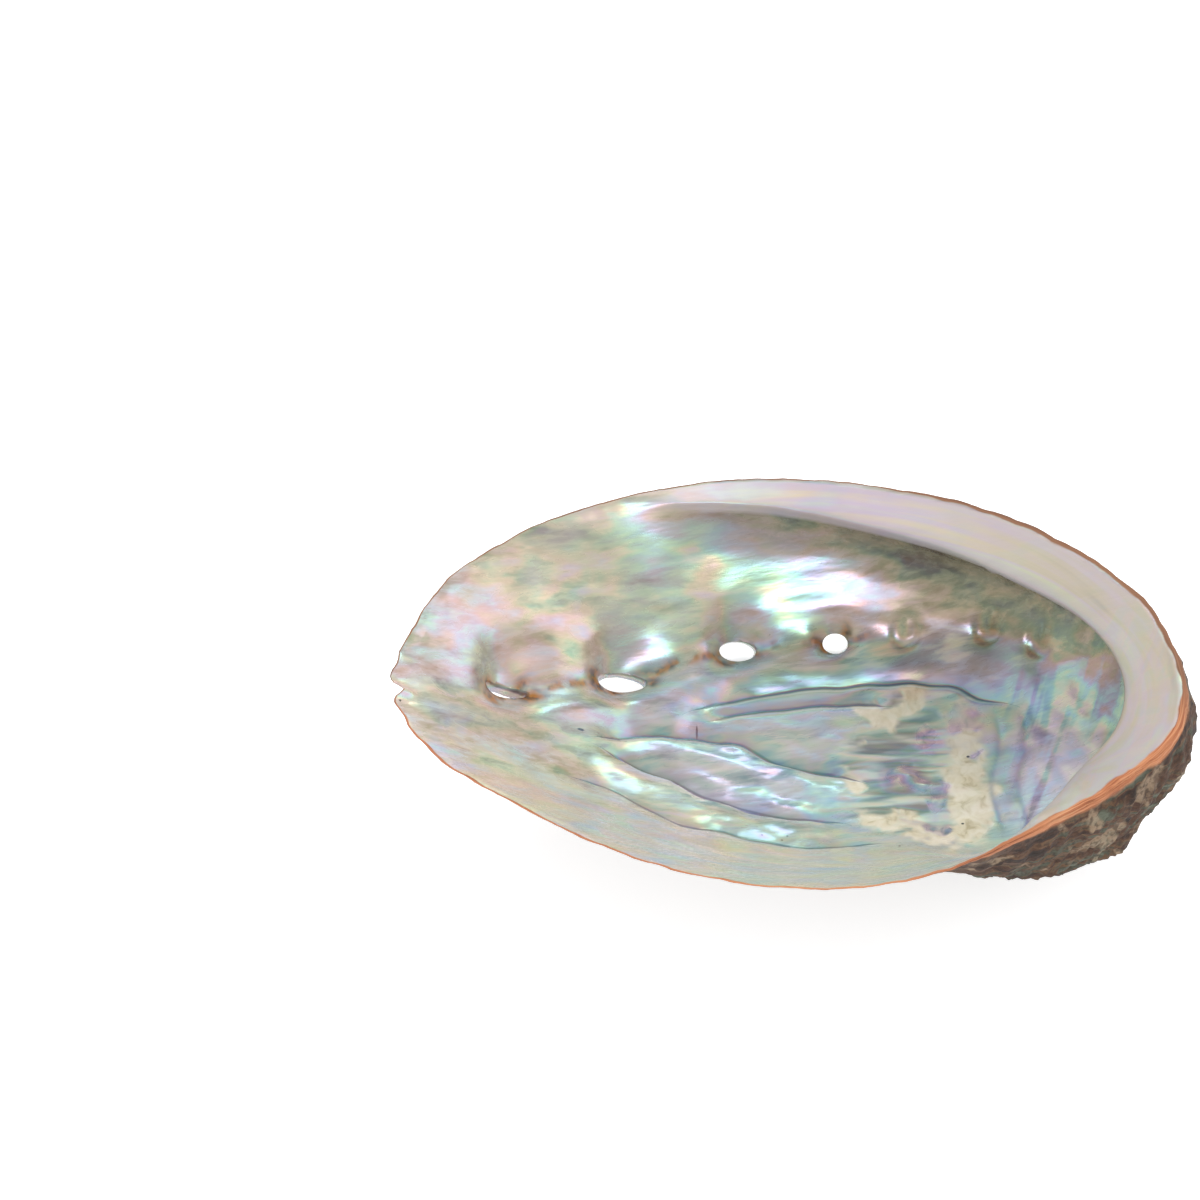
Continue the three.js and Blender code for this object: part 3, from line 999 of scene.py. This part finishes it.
class Graph:
    """One material's node tree."""

    def __init__(self, name: str) -> None:
        """Start a material with only its output node."""
        self.material = bpy.data.materials.new(name)
        self.material.use_nodes = True
        self.tree = self.material.node_tree
        self.tree.nodes.clear()
        self.output = self.tree.nodes.new("ShaderNodeOutputMaterial")
        self.place = self.node("ShaderNodeTexCoord").outputs["Object"]

    def node(self, kind: str, settings: dict | None = None, sockets: dict | None = None) -> bpy.types.Node:
        """Add any node.

        Args:
            kind: the node's type.
            settings: properties set first; "stops" gives a colour ramp's positions and colours.
            sockets: a value, a Value or a socket for each named or numbered input.

        Returns:
            The new node.
        """
        made = self.tree.nodes.new(kind)
        for key, setting in (settings or {}).items():
            if key != "stops":
                setattr(made, key, setting)
                continue
            stops = made.color_ramp.elements
            while len(stops) < len(setting):
                stops.new(0.5)
            for stop, (position, colour) in zip(stops, setting):
                stop.position, stop.color = position, colour
        for key, value in (sockets or {}).items():
            if isinstance(value, Value):
                self.tree.links.new(value.socket, made.inputs[key])
            elif isinstance(value, bpy.types.NodeSocket):
                self.tree.links.new(value, made.inputs[key])
            else:
                made.inputs[key].default_value = value
        return made

    def maths(self, operation: str, *terms: "Value | float") -> Value:
        """One Math node over values and numbers."""
        made = self.node("ShaderNodeMath", {"operation": operation}, dict(enumerate(terms)))
        return Value(self, made.outputs[0])

    def number(self, amount: float) -> Value:
        """A constant."""
        made = self.node("ShaderNodeValue")
        made.outputs[0].default_value = amount
        return Value(self, made.outputs[0])

    def axes(self, source: bpy.types.NodeSocket) -> tuple[Value, ...]:
        """The three parts of a vector."""
        made = self.node("ShaderNodeSeparateXYZ", None, {0: source})
        return tuple(Value(self, made.outputs[axis]) for axis in "XYZ")

    def millimetres(self) -> bpy.types.NodeSocket:
        """The place on the object, in millimetres."""
        return self.stretch(self.place, (1000.0, 1000.0, 1000.0))

    def cover(self, shader: bpy.types.NodeSocket) -> bpy.types.Material:
        """Finish the material with its shader."""
        self.tree.links.new(shader, self.output.inputs["Surface"])
        return self.material

    def measure(self, name: str) -> Value:
        """A vertex measure by name."""
        return Value(self, self.node("ShaderNodeAttribute", {"attribute_name": name}).outputs["Fac"])

    def vector(self, name: str) -> bpy.types.NodeSocket:
        """A vertex vector by name."""
        return self.node("ShaderNodeAttribute", {"attribute_name": name}).outputs["Vector"]

    def stretch(
        self, source: bpy.types.NodeSocket, scale: tuple[float, float, float], turn: float = 0.0
    ) -> bpy.types.NodeSocket:
        """Scale a vector along and across a direction in plan, given in degrees from X."""
        if turn:
            sockets = {"Vector": source, "Angle": -math.radians(turn)}
            source = self.node("ShaderNodeVectorRotate", {"rotation_type": "Z_AXIS"}, sockets).outputs["Vector"]
        return self.node("ShaderNodeMapping", None, {"Vector": source, "Scale": scale}).outputs["Vector"]

    def cloud(
        self, source: bpy.types.NodeSocket, scale: float, detail: float = 2.0, warp: float = 0.0
    ) -> Value:
        """Noise about 0.5 at a scale in lumps per unit."""
        sockets = {"Vector": source, "Scale": scale, "Detail": detail, "Distortion": warp}
        return Value(self, self.node("ShaderNodeTexNoise", None, sockets).outputs["Fac"])

    def mix(self, share: "Value | float", a: object, b: object, mode: str = "MIX") -> bpy.types.NodeSocket:
        """Mix two colours, or colour sockets, by a share from 0 to 1."""
        settings = {"data_type": "RGBA", "blend_type": mode}
        made = self.node("ShaderNodeMix", settings, {0: share, 6: a, 7: b})
        return made.outputs[2]

    def ramp(self, share: Value, stops: Stops) -> bpy.types.NodeSocket:
        """Colour ramp over screen colours."""
        made = self.node("ShaderNodeValToRGB", {"stops": [(p, tint(c)) for p, c in stops]}, {"Fac": share})
        return made.outputs["Color"]


def rust(g: Graph) -> bpy.types.NodeSocket:
    """Orange-brown of the lip's edge, streaked along the rim."""
    streaks = g.cloud(g.stretch(g.vector("flow"), (3.0, 0.25, 0.25)), 1.0, 3.0, 0.2)
    colour = g.ramp(streaks, ((0.25, "6E412C"), (0.42, "A4623F"), (0.58, "BE7E56"), (0.8, "C99A76")))
    back = g.axes(g.place)[1].step(-0.005, 0.001)
    return g.mix(back * 0.7, colour, tint("6A5342"))


@dataclass
class PearlMaps:
    """The place, lean and noise values that all layers of the pearl share."""

    g: Graph

    def __post_init__(self) -> None:
        """Add the shared nodes once."""
        g = self.g
        self.mm = g.millimetres()
        self.lean_x, self.lean_y, _ = g.axes(g.node("ShaderNodeNewGeometry").outputs["Normal"])
        self.x, self.y, self.z = g.axes(self.mm)
        self.broad = g.cloud(self.mm, 0.13, 2.0, 0.6)
        self.patch = g.cloud(g.stretch(self.mm, (0.16, 0.34, 0.3), 12.0), 1.0, 2.0, 0.9)
        self.streak = g.cloud(g.stretch(self.mm, (0.14, 0.8, 0.55), 9.0), 1.0, 4.0, 0.5)
        self.silk = g.cloud(g.stretch(self.mm, (0.5, 2.6, 1.6), 14.0), 1.0, 3.0, 0.4)
        columns = g.cloud(g.stretch(self.mm, (0.1, 0.75, 0.2), 71.0), 1.0, 2.0, 0.4)
        self.right = self.x.step(15.5, 18.0) * self.y.step(9.0, 6.0)
        self.front = self.y.step(-5.0, -10.5)
        upright = (columns.step(0.38, 0.62) * 0.7 + 0.15) * self.right * 0.6
        self.lines = self.streak * (1.0 - self.right * 0.6) + upright
        drop = (self.y - 6.0).calculate("MAXIMUM", 0.0) * 0.5
        self.deep = (self.z + (self.broad - 0.5) * 4.0 + drop).step(6.5, 2.5)
        grain = ((self.lines - 0.5) * 1.8 + (self.silk - 0.5) * 1.0) * (1.0 - self.front * 0.7)
        self.lift = ((self.patch - 0.5) * 0.8 + grain + self.right * 0.1 + 0.5).clamp()
        self.corner = self.x.step(2.0, 11.0) * (self.y + (self.broad - 0.5) * 6.0).step(5.5, 9.5)
        gaps = [g.measure(f"fold_{k}") for k in range(5)]
        none = g.number(0.0)
        # Thin line at each fold: it carves a groove in the bump and carries painted shade; the thin line just
        # below it carries a painted highlight.
        self.seam = sum((gap.step(-0.2, -0.05) * gap.step(0.22, 0.05) for gap in gaps), none).clamp()
        self.painted_highlight_line = sum((gap.step(-0.5, -0.36) * gap.step(-0.2, -0.28) for gap in gaps), none).clamp()
        self.scar, self.cream, self.shiny = (g.measure(name) for name in ("scar", "cream", "violet"))
        self.shelf, self.cave = g.measure("shelf"), g.measure("cave")
        self.crease, self.stain = g.measure("crease"), g.measure("stain")
        self.edge = (g.measure("rim_gap") / g.measure("lip_band")).step(1.15, 0.75)


@dataclass(frozen=True)
class Pearl:
    """Mother of pearl, with the cream inner lip, the coloured lip edge and brown stains."""

    tints: tuple[tuple[str, float, float], ...] = (
        ("E0BCB4", 0.5, 14.0), ("A6C9AC", 0.6, 6.0), ("9FB0DB", 0.55, 18.0),
        ("DCD6A8", 0.4, 10.0), ("93C4CC", 0.35, 12.0),
    )
    glints: Stops = (
        (0.0, "F6E3B4"), (0.2, "F2BCC9"), (0.4, "C2BCF2"), (0.6, "97DFEE"), (0.8, "A9EFC6"), (1.0, "F6E3B4"),
    )
    specks: Ovals = (
        (-15.8, 0.5, 0.28, 0.12), (-7.0, 2.4, 0.08, 0.55), (-2.2, -7.9, 0.1, 0.1), (-0.7, -8.2, 0.09, 0.09),
        (-0.3, -7.7, 0.08, 0.08), (8.1, -8.9, 0.09, 0.09), (13.6, 0.9, 0.13, 0.1), (13.0, -5.6, 0.12, 0.09),
    )

    def floor(self, m: PearlMaps) -> bpy.types.NodeSocket:
        """Sea tints low in the bowl, calm cream above, and clouds of pastel over both."""
        g = m.g
        calm = g.mix(m.lift, tint("898270"), tint("DFDAC8"))
        low, high = (tint("6C8294"), tint("7D7CA6")), (tint("D3E2DA"), tint("D9DDEC"))
        sea = g.mix(m.lift, g.mix(m.right * 0.8, *low), g.mix(m.right, *high))
        colour = g.mix(m.deep, g.mix(m.front * 0.6, calm, tint("CDC5AE")), sea)
        for k, (name, share, turn) in enumerate(self.tints):
            cloud = g.cloud(g.stretch(m.mm, (0.09, 0.2, 0.2), turn), 1.0 + 0.13 * k, 2.0, 0.7 + 0.3 * k)
            where = cloud + (m.lines - 0.5) * (0.45 - m.front * 0.3) - m.right * 0.08
            # The tints are the pearl's own colours; their shift with the surface's lean is a painted iridescent
            # sheen.
            where = where + m.lean_x * (0.25 - 0.2 * k) + m.lean_y * (0.1 * k - 0.15)
            share = where.step(0.46, 0.74) * (m.deep * 0.3 + 0.7) * (1.0 - m.right * 0.6) * share
            colour = g.mix(share, colour, tint(name))
        return colour

    def muscle_scar(self, m: PearlMaps, colour: bpy.types.NodeSocket) -> bpy.types.NodeSocket:
        """Grey laps, cream spots and the shiny violet patches where the muscle held."""
        g = m.g
        spots = g.cloud(m.mm, 0.9, 3.0, 0.8)
        laps = g.measure("laps") * 0.9 + m.streak
        tone = g.ramp(laps, ((0.2, "545C54"), (0.42, "8E968A"), (0.6, "C0BFB0"), (0.85, "CFC3B0")))
        colour = g.mix(m.scar * 0.72, colour, tone)
        cream = g.ramp(spots, ((0.3, "B3A588"), (0.42, "D6CBB3"), (0.6, "E3DAC8")))
        colour = g.mix(m.cream * 0.85, colour, cream)
        violet = g.ramp(spots, ((0.34, "7478A0"), (0.5, "B8A3BE"), (0.64, "DCC6CF")))
        return g.mix(m.shiny * 0.6, colour, violet)

    def shades(self, m: PearlMaps, colour: bpy.types.NodeSocket) -> bpy.types.NodeSocket:
        """Brown corner and belt under the lip, painted shade in the hollow under the lip, and the folds' bands
        and lines of painted shade and lines of painted highlight.
        """
        g = m.g
        colour = g.mix(m.corner * 0.8, colour, g.mix(m.lift, tint("574A3E"), tint("B5A792")))
        belt = m.y.step(5.0, 7.5) * m.y.step(12.5, 10.0) * m.x.step(-5.0, 1.0)
        colour = g.mix(belt * m.streak.step(0.62, 0.4) * 0.55, colour, tint("777360"))
        colour = g.mix(belt * m.streak.step(0.5, 0.66) * 0.5, colour, tint("D8BC98"))
        # Painted shade in the hollow under the overhanging lip, brown-grey.
        colour = g.mix(m.cave * 0.9, colour, g.mix(m.lift, tint("463A2E"), tint("8C8170")))
        # Painted shade, dark slate, beside each fold and in the scar's grooves.
        colour = g.mix(m.crease * 0.85, colour, tint("5A697E"))
        # Painted shade along each fold's line and a painted highlight just below it.
        colour = g.mix(m.painted_highlight_line * 0.45, g.mix(m.seam * 0.75, colour, tint("4A5464")), tint("EDF3F2"))
        for a, b, wide, tall in self.specks:
            spot = ((m.x - a) * (1.0 / wide)) ** 2 + ((m.y - b) * (1.0 / tall)) ** 2
            colour = g.mix(spot.step(1.3, 0.5), colour, tint("3F3A38"))
        return colour

    def lip(self, m: PearlMaps, colour: bpy.types.NodeSocket) -> bpy.types.NodeSocket:
        """The arched cream and lilac inner lip, whiter towards its left end as a painted highlight, the painted
        grey shade under the pores, the stains, and the rust edge.
        """
        g = m.g
        arcs = g.cloud(g.stretch(g.vector("flow"), (0.28, 0.14, 0.14)), 1.0, 3.0, 0.5)
        lilac = g.ramp(arcs, ((0.25, "A6A092"), (0.42, "C2B7A2"), (0.56, "B3A8B6"), (0.75, "B4B9A4")))
        bands = g.mix(arcs.step(0.4, 0.6), tint("97938A"), tint("ADA597"))
        lilac = g.mix(m.x.step(3.0, 22.0) * 0.5, lilac, bands)
        # The lip's own cream and lilac, whiter towards its left end as a painted highlight.
        colour = g.mix(m.shelf, colour, g.mix(m.x.step(3.0, -9.0) * 0.8, lilac, tint("E9DCDC")))
        # Painted grey shade along the furrow and pits under the open pores.
        colour = g.mix(g.measure("furrow") * 0.3, colour, tint("6F6C66"))
        rusty = g.mix(g.cloud(m.mm, 1.6, 2.0).step(0.4, 0.6), tint("4A3426"), tint("9A6636"))
        colour = g.mix((m.stain * 1.25).clamp(), colour, rusty)
        shade = g.node("ShaderNodeHueSaturation", None, {"Color": colour, "Value": 0.94, "Saturation": 1.15})
        return g.mix(m.edge, shade.outputs["Color"], rust(g))

    def make(self) -> bpy.types.Material:
        """Build the material."""
        g = Graph("mother of pearl")
        m = PearlMaps(g)
        colour = self.lip(m, self.shades(m, self.muscle_scar(m, self.floor(m))))
        ripple = g.cloud(g.stretch(m.mm, (0.35, 1.6, 1.0), 10.0), 1.0, 2.0, 0.3)
        height = ripple + m.silk * 0.2 - m.seam * 1.5
        bump = g.node("ShaderNodeBump", None, {"Strength": 0.22, "Distance": 0.00012, "Height": height})
        dull = m.edge * 0.35 + m.scar * 0.1 - m.shiny * 0.12 + m.stain * 0.2 + m.shelf * 0.2
        dull = (dull + m.crease * 0.1 + 0.27).clamp()
        body = g.node(
            "ShaderNodeBsdfPrincipled",
            None,
            {
                "Base Color": colour,
                "Roughness": dull + (m.silk - 0.5) * 0.15,
                "Coat Weight": ((1.0 - m.edge) * (1.0 - m.shelf * 0.6) * 0.4).clamp(),
                "Coat Roughness": 0.22,
                "IOR": 1.55,
                "Normal": bump.outputs["Normal"],
            },
        )
        # The glint colours follow noise and the surface's lean; the lean part is a painted iridescent sheen.
        hue = m.lean_x * 0.8 + m.lean_y * 1.1 + m.broad * 1.2 + m.patch * 1.1 + m.lines * 0.9 + m.silk * 0.25
        shimmer = g.node(
            "ShaderNodeBsdfPrincipled",
            None,
            {
                "Base Color": g.ramp((hue * 1.1 + 0.35).calculate("FRACT"), self.glints),
                "Metallic": 1.0,
                "Roughness": (dull + (m.streak - 0.5) * 0.25).clamp(),
                "Normal": bump.outputs["Normal"],
            },
        )
        matt = (1.0 - m.edge) * (1.0 - m.stain) * (1.0 - m.shelf * 0.7) * (1.0 - m.scar * 0.35)
        matt = matt * (1.0 - m.cream * 0.8) * (1.0 - m.cave * 0.6) * (1.0 - m.corner * 0.5)
        share = (matt * (0.12 + m.patch * 0.34) + m.shiny * 0.25).clamp()
        coats = {0: share, 1: body.outputs["BSDF"], 2: shimmer.outputs["BSDF"]}
        blend = g.node("ShaderNodeMixShader", None, coats)
        return g.cover(blend.outputs["Shader"])


@dataclass(frozen=True)
class Crust:
    """The rough outside: brown and teal growth bands under chalky patches."""

    bands: Stops = ((0.34, "20150E"), (0.44, "4C3120"), (0.5, "6E543C"), (0.56, "46483C"), (0.68, "647064"))

    def make(self) -> bpy.types.Material:
        """Build the material."""
        g = Graph("rough crust")
        mm = g.millimetres()
        bands = g.cloud(g.stretch(g.vector("flow"), (0.42, 0.12, 0.12)), 1.0, 4.0, 0.3)
        lumps = g.cloud(mm, 0.5, 4.0, 0.4)
        grit = g.cloud(mm, 2.4, 4.0)
        colour = g.ramp(bands, self.bands)
        colour = g.mix(lumps.step(0.5, 0.62), colour, tint("533927"))
        chalk = g.cloud(mm, 0.33, 5.0, 0.8).step(0.57, 0.66)
        colour = g.mix(chalk * 0.6, colour, g.mix(grit, tint("877662"), tint("CDBDA8")))
        colour = g.mix(grit.step(0.52, 0.36) * 0.55, colour, tint("2E241D"))
        colour = g.mix(0.8, colour, tint("D8C8B4"), "MULTIPLY")
        edge = (g.measure("rim_gap") / g.measure("lip_band")).step(1.5, 0.7)
        colour = g.mix(edge, colour, rust(g))
        bump = g.node("ShaderNodeBump", None, {"Strength": 0.6, "Distance": 0.0003, "Height": grit + lumps})
        shader = g.node(
            "ShaderNodeBsdfPrincipled",
            None,
            {"Base Color": colour, "Roughness": 0.9 - grit * 0.2, "Normal": bump.outputs["Normal"]},
        )
        return g.cover(shader.outputs["BSDF"])


@dataclass
class Studio:
    """Pale table, soft lights and the camera."""

    elevation: float = 59.0
    distance: float = 0.6
    field_width: float = 0.0902
    sensor: float = 36.0
    aim_side: float = -0.0145
    aim_up: float = 0.0091

    def table(self) -> bpy.types.Object:
        """A wide pale table under the shell."""
        deselect_all()
        bpy.ops.mesh.primitive_plane_add(size=3.0, location=(0.0, 0.0, 0.0))
        floor = bpy.context.object
        floor.name = "table"
        g = Graph("pale table")
        shader = g.node(
            "ShaderNodeBsdfPrincipled",
            None,
            {
                "Base Color": (0.9, 0.9, 0.9, 1.0),
                "Roughness": 0.9,
                "Emission Color": (1.0, 1.0, 1.0, 1.0),
                "Emission Strength": 0.5,
            },
        )
        floor.data.materials.append(g.cover(shader.outputs["BSDF"]))
        floor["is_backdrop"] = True
        return floor

    def light(
        self,
        name: str,
        place: tuple[float, float, float],
        size: tuple[float, float],
        power: float,
        roll: float = 0.0,
    ) -> bpy.types.Object:
        """A soft light, size wide and high, that looks at the shell and is rolled by some degrees."""
        deselect_all()
        bpy.ops.object.light_add(type="AREA", location=place)
        lamp = bpy.context.object
        lamp.name = name
        lamp.data.shape = "RECTANGLE"
        lamp.data.size, lamp.data.size_y = size
        lamp.data.energy = power
        turn = Vector(place).to_track_quat("Z", "Y") @ Quaternion((0.0, 0.0, 1.0), math.radians(roll))
        lamp.rotation_euler = turn.to_euler()
        return lamp

    def world(self) -> None:
        """Even pale surroundings."""
        world = bpy.data.worlds.new("studio")
        world.use_nodes = True
        background = world.node_tree.nodes["Background"]
        background.inputs["Color"].default_value = (0.95, 0.97, 1.0, 1.0)
        background.inputs["Strength"].default_value = 0.45
        bpy.context.scene.world = world
        bpy.context.scene.view_settings.view_transform = "Standard"

    def camera(self) -> bpy.types.Object:
        """A long lens that looks down on the bowl from the outer lip's side."""
        angle = math.radians(self.elevation)
        back = Vector((0.0, -math.cos(angle), math.sin(angle)))
        up = Vector((0.0, math.sin(angle), math.cos(angle)))
        low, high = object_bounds()
        aim = (low + high) / 2 + Vector((self.aim_side, 0.0, 0.0)) + up * self.aim_up
        deselect_all()
        bpy.ops.object.camera_add(location=aim + back * self.distance, rotation=(math.pi / 2 - angle, 0.0, 0.0))
        camera = bpy.context.object
        camera.data.sensor_width = self.sensor
        camera.data.lens = self.sensor * self.distance / self.field_width
        camera.data.clip_start, camera.data.clip_end = 0.01, 10.0
        bpy.context.scene.camera = camera
        return camera

    def set_up(self) -> None:
        """Make the table, lights and camera."""
        self.table()
        self.world()
        self.light("front strip", (0.05, -0.53, 0.36), (0.4, 0.13), 1.6, 22.0)
        self.light("back fill", (0.05, 0.42, 0.48), (0.7, 0.35), 3.8).visible_glossy = False
        self.light("back window", (0.22, 0.47, 0.36), (0.16, 0.12), 0.35)
        self.light("right sheet", (0.6, 0.05, 0.3), (0.5, 0.4), 0.9)
        self.light("left sheet", (-0.5, -0.05, 0.42), (0.9, 0.6), 1.0)
        self.camera()


def main() -> None:
    """Build the shell, dress it and light it."""
    logging.basicConfig(level=logging.INFO, format="%(name)s: %(message)s")
    body = ShellBody()
    shell = body.build()
    log.info("shell: %d faces", len(shell.data.polygons))
    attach(shell, "root")
    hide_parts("shell")
    Studio().set_up()
    log.info("studio ready")


if __name__ == "__main__":
    main()
